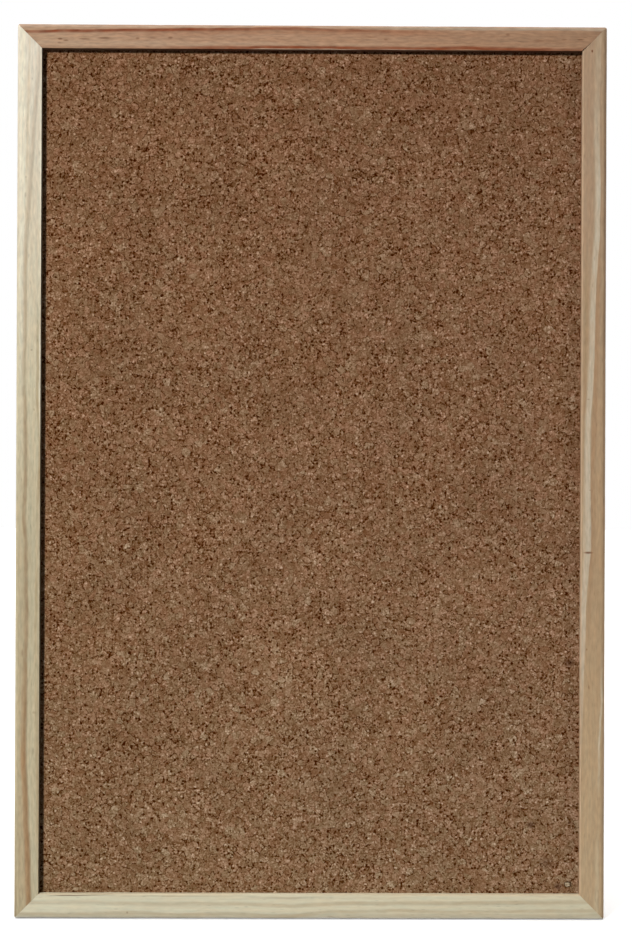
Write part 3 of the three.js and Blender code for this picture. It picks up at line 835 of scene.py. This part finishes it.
def bar_stations(length):
    """Where along a bar its section is set: close together in the corners, then evenly spaced. Each is a
    pair: the distance from the first mitre, and how far the rounded corner lies inside the square one."""
    corner = []
    for step in range(CORNER_STEPS + 1):
        angle = math.radians(45 + 45 * step / CORNER_STEPS)
        place = CORNER_ROUND * (math.sin(angle) - math.cos(angle))
        inside = CORNER_ROUND * (1 - math.sin(angle))
        corner.append((place, inside))
    straight = length - 2 * CORNER_ROUND
    spaces = max(2, round(straight / STATION_SPACING))
    middle = [(CORNER_ROUND + straight * k / spaces, 0.0) for k in range(1, spaces)]
    return corner + middle + [(length - place, inside) for place, inside in reversed(corner)]


def mitre_opening(name, across):
    """How far the bar's right or lower end stands back from its mitre."""
    if name != OPEN_MITRE_BAR:
        return 0.0
    return OPEN_MITRE_GAP * max(0.0, 1 - (BAR_WIDTH - across) / OPEN_MITRE_REACH)


def bar(name):
    """A mitred bar: its section swept along it, with rounded corners and the wear of handling."""
    length = bar_length(name)
    (along_axis, along_start, along_way), (across_axis, across_start, across_way) = BAR_AXES[name]
    outline = bar_section()
    dings = bar_dings(name, length)
    shape = bmesh.new()
    rings = []
    for place, inside in bar_stations(length):
        ring = []
        for across, depth in outline:
            across, depth = worn(name, dings, place, across, depth)
            across += inside * (1 - across / BAR_WIDTH)
            first = MITRE_TRIM + across
            last = length - MITRE_TRIM - across - mitre_opening(name, across)
            point = [0.0, FRONT + depth, 0.0]
            point[along_axis] = along_start + along_way * (first + (last - first) * place / length)
            point[across_axis] = across_start + across_way * across
            ring.append(shape.verts.new(point))
        rings.append(ring)
    for first, second in zip(rings, rings[1:]):
        for k in range(len(outline)):
            after = (k + 1) % len(outline)
            shape.faces.new((first[k], first[after], second[after], second[k]))
    shape.faces.new(rings[0])
    shape.faces.new(rings[-1])
    return shape


def prism(shape, outline, low, high, place):
    """Adds a prism of an (x, y) outline from low to high, moved by a matrix, to a bmesh."""
    ends = [[shape.verts.new(place @ Vector((x, y, height))) for x, y in outline] for height in (low, high)]
    for k in range(len(outline)):
        after = (k + 1) % len(outline)
        shape.faces.new((ends[0][k], ends[0][after], ends[1][after], ends[1][k]))
    shape.faces.new(ends[0])
    shape.faces.new(ends[1])


def fastener_rooms():
    """The room for the staples' crowns and the hanger screws in the bars' backs, as one cutting object."""
    shape = bmesh.new()
    half = STAPLE_CROWN / 2 + FASTENER_ROOM
    wide = STAPLE_WIRE / 2 + FASTENER_ROOM
    crown = [(-half, -wide), (half, -wide), (half, wide), (-half, wide)]
    pilot = arc((0, 0), PILOT_RADIUS, 0, 360, PILOT_SIDES)[:-1]
    to_front = Matrix.Rotation(math.radians(90), 4, "X")
    for name in frame["nodes"]:
        low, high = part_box(name)
        middle = (low + high) / 2
        place = Matrix.Translation((middle.x, 0, middle.z))
        if name.startswith("corner_staple"):
            rising = (middle.x > BOARD_MIDDLE.x) != (middle.z > BOARD_MIDDLE.z)
            turn = Matrix.Rotation(math.radians(-45 if rising else 45), 4, "Y")
            floor = high.y - STAPLE_THICKNESS - FASTENER_ROOM
            prism(shape, crown, -BACK - CUT_PAST, -floor, place @ turn @ to_front)
        elif name.startswith("hanger_screw"):
            prism(shape, pilot, -BACK - CUT_PAST, -low.y + FASTENER_ROOM, place @ to_front)
    return solid("fastener_rooms", shape)


def cut(made, cutter):
    """Cuts the cutter out of a piece and keeps the result as its mesh."""
    modifier = made.modifiers.new("rooms", "BOOLEAN")
    modifier.operation = "DIFFERENCE"
    modifier.solver = "EXACT"
    modifier.object = cutter
    graph = bpy.context.evaluated_depsgraph_get()
    finished = bpy.data.meshes.new_from_object(made.evaluated_get(graph))
    made.modifiers.clear()
    made.data = finished


def cork_sheet():
    """The cork sheet, its front face pressed from granules and so a little uneven."""
    shape = bmesh.new()
    columns = round((CORK_HIGH.x - CORK_LOW.x) / CORK_GRID)
    rows = round((CORK_HIGH.z - CORK_LOW.z) / CORK_GRID)
    chance = random.Random("cork")
    fronts = []
    for row in range(rows + 1):
        z = CORK_LOW.z + (CORK_HIGH.z - CORK_LOW.z) * row / rows
        line = []
        for column in range(columns + 1):
            x = CORK_LOW.x + (CORK_HIGH.x - CORK_LOW.x) * column / columns
            rim = row in (0, rows) or column in (0, columns)
            deep = 0.0 if rim else chance.random() ** 2 * CORK_RELIEF
            line.append(shape.verts.new((x, CORK_LOW.y + deep, z)))
        fronts.append(line)
    for low, high in zip(fronts, fronts[1:]):
        for k in range(columns):
            shape.faces.new((low[k], low[k + 1], high[k + 1], high[k]))
    right_side = [line[-1] for line in fronts[1:]]
    left_side = [line[0] for line in fronts[-2:0:-1]]
    rim = fronts[0] + right_side + fronts[-1][-2::-1] + left_side
    backs = [shape.verts.new((vert.co.x, CORK_HIGH.y, vert.co.z)) for vert in rim]
    for k in range(len(rim)):
        after = (k + 1) % len(rim)
        shape.faces.new((rim[k], rim[after], backs[after], backs[k]))
    shape.faces.new(backs)
    return shape


def smooth_by_angle():
    """Geometry nodes that join split corners and shade smooth across all but sharp edges."""
    group = bpy.data.node_groups.new("smooth_by_angle", "GeometryNodeTree")
    group.interface.new_socket("Geometry", in_out="INPUT", socket_type="NodeSocketGeometry")
    group.interface.new_socket("Geometry", in_out="OUTPUT", socket_type="NodeSocketGeometry")
    source = group.nodes.new("NodeGroupInput")
    target = group.nodes.new("NodeGroupOutput")
    weld = group.nodes.new("GeometryNodeMergeByDistance")
    weld.inputs["Distance"].default_value = WELD_DISTANCE
    smooth = group.nodes.new("GeometryNodeSetShadeSmooth")
    angle = group.nodes.new("GeometryNodeInputMeshEdgeAngle")
    sharp = group.nodes.new("FunctionNodeCompare")
    sharp.operation = "GREATER_THAN"
    sharp.inputs[1].default_value = SHARP_ANGLE
    crease = group.nodes.new("GeometryNodeSetShadeSmooth")
    crease.domain = "EDGE"
    crease.inputs["Shade Smooth"].default_value = False
    links = group.links
    links.new(source.outputs[0], weld.inputs["Geometry"])
    links.new(weld.outputs["Geometry"], smooth.inputs["Geometry"])
    links.new(smooth.outputs["Geometry"], crease.inputs["Geometry"])
    links.new(angle.outputs["Unsigned Angle"], sharp.inputs[0])
    links.new(sharp.outputs["Result"], crease.inputs["Selection"])
    links.new(crease.outputs["Geometry"], target.inputs[0])
    return group


def finish_node(name, material, slot, shading):
    """Gives a CAD node its material and smooth shading."""
    node = frame["nodes"][name]
    node.data.materials.clear()
    node.data.materials.append(material)
    node.modifiers.new("shading", "NODES").node_group = shading


# Pieces

slots = {entry["node"]: entry["material_slot"] for entry in frame["record"]["subparts"]}
shading = smooth_by_angle()

rooms = fastener_rooms()
for bar_name in PINE:
    wooden = piece(f"pine_{bar_name}", bar(bar_name), pine(bar_name))
    cut(wooden, rooms)
    wooden.modifiers.new("shading", "NODES").node_group = shading
    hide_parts(bar_name)
bpy.data.objects.remove(rooms)

sheet = piece("cork_face", cork_sheet(), cork())
sheet.modifiers.new("shading", "NODES").node_group = shading
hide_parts("cork_sheet")

staple_zinc = zinc("staple_zinc", (100, 99, 95), (142, 141, 136), 0.42)
hanger_zinc = zinc("hanger_zinc", (112, 111, 107), (152, 151, 146), 0.40)
node_materials = {"hardboard_back": hardboard(), "softboard_core": softboard()}
for node_name in frame["nodes"]:
    if node_name.startswith("corner_staple"):
        node_materials[node_name] = staple_zinc
    elif node_name.startswith("hanger"):
        node_materials[node_name] = hanger_zinc
for node_name, node_material in node_materials.items():
    finish_node(node_name, node_material, slots[node_name], shading)


# Stage

def pale_floor():
    """A wide pale floor below the board: pale to the camera, darker to scattered light."""
    shape = bmesh.new()
    half = FLOOR_SIZE / 2
    height = BOTTOM - FLOOR_DROP
    corners = [(-half, -half), (half, -half), (half, half), (-half, half)]
    shape.faces.new([shape.verts.new((x, y, height)) for x, y in corners])
    data = bpy.data.meshes.new("floor")
    shape.to_mesh(data)
    shape.free()
    paint = Material("floor_pale")
    rays = paint.node("ShaderNodeLightPath")
    seen = paint.math("ADD", rays.outputs["Is Camera Ray"], rays.outputs["Is Glossy Ray"])
    seen = paint.math("ADD", seen, rays.outputs["Is Transmission Ray"], clamp=True)
    paint.set("Base Color", paint.mix(seen, FLOOR_SCATTERING, FLOOR_SEEN))
    paint.set("Roughness", 1.0)
    paint.set("Specular IOR Level", 0.0)
    paint.set("Emission Color", WHITE)
    paint.set("Emission Strength", paint.math("MULTIPLY", seen, FLOOR_GLOW))
    data.materials.append(paint.data)
    floor = new_object("floor", data)


def lamp(name, travel, strength, angle):
    """A lamp far away, whose light travels one way everywhere."""
    data = bpy.data.lights.new(name, "SUN")
    data.energy = strength
    data.angle = math.radians(angle)
    made = new_object(name, data)
    made.rotation_mode = "QUATERNION"
    made.rotation_quaternion = travel.to_track_quat("-Z", "Y")


def white_world():
    """White to the camera and in reflections, with a little even light on the surfaces."""
    world = bpy.data.worlds.new("white")
    bpy.context.scene.world = world
    world.use_nodes = True
    tree = world.node_tree
    tree.nodes.clear()
    rays = tree.nodes.new("ShaderNodeLightPath")
    first = tree.nodes.new("ShaderNodeMath")
    second = tree.nodes.new("ShaderNodeMath")
    second.use_clamp = True
    level = tree.nodes.new("ShaderNodeMapRange")
    level.inputs["To Min"].default_value = AMBIENT
    background = tree.nodes.new("ShaderNodeBackground")
    background.inputs["Color"].default_value = WHITE
    output = tree.nodes.new("ShaderNodeOutputWorld")
    tree.links.new(rays.outputs["Is Camera Ray"], first.inputs[0])
    tree.links.new(rays.outputs["Is Glossy Ray"], first.inputs[1])
    tree.links.new(first.outputs[0], second.inputs[0])
    tree.links.new(rays.outputs["Is Transmission Ray"], second.inputs[1])
    tree.links.new(second.outputs[0], level.inputs["Value"])
    tree.links.new(level.outputs["Result"], background.inputs["Strength"])
    tree.links.new(background.outputs[0], output.inputs["Surface"])


def camera():
    """The photograph's camera: in front of the board, level and square to it but for small angles."""
    data = bpy.data.cameras.new("camera")
    data.lens = CAMERA_LENS
    made = new_object("camera", data)
    turn = Matrix.Rotation(math.radians(CAMERA_YAW), 4, "Z")
    turn = turn @ Matrix.Rotation(math.radians(90 + CAMERA_PITCH), 4, "X")
    turn = turn @ Matrix.Rotation(math.radians(-CAMERA_ROLL), 4, "Z")
    made.matrix_world = Matrix.Translation((CAMERA_ASIDE, -CAMERA_DISTANCE, CAMERA_HEIGHT)) @ turn
    bpy.context.scene.camera = made


pale_floor()
for lamp_name, (travel, strength, angle) in LAMPS.items():
    lamp(lamp_name, travel, strength, angle)
white_world()
camera()
bpy.context.scene.view_settings.view_transform = "Standard"
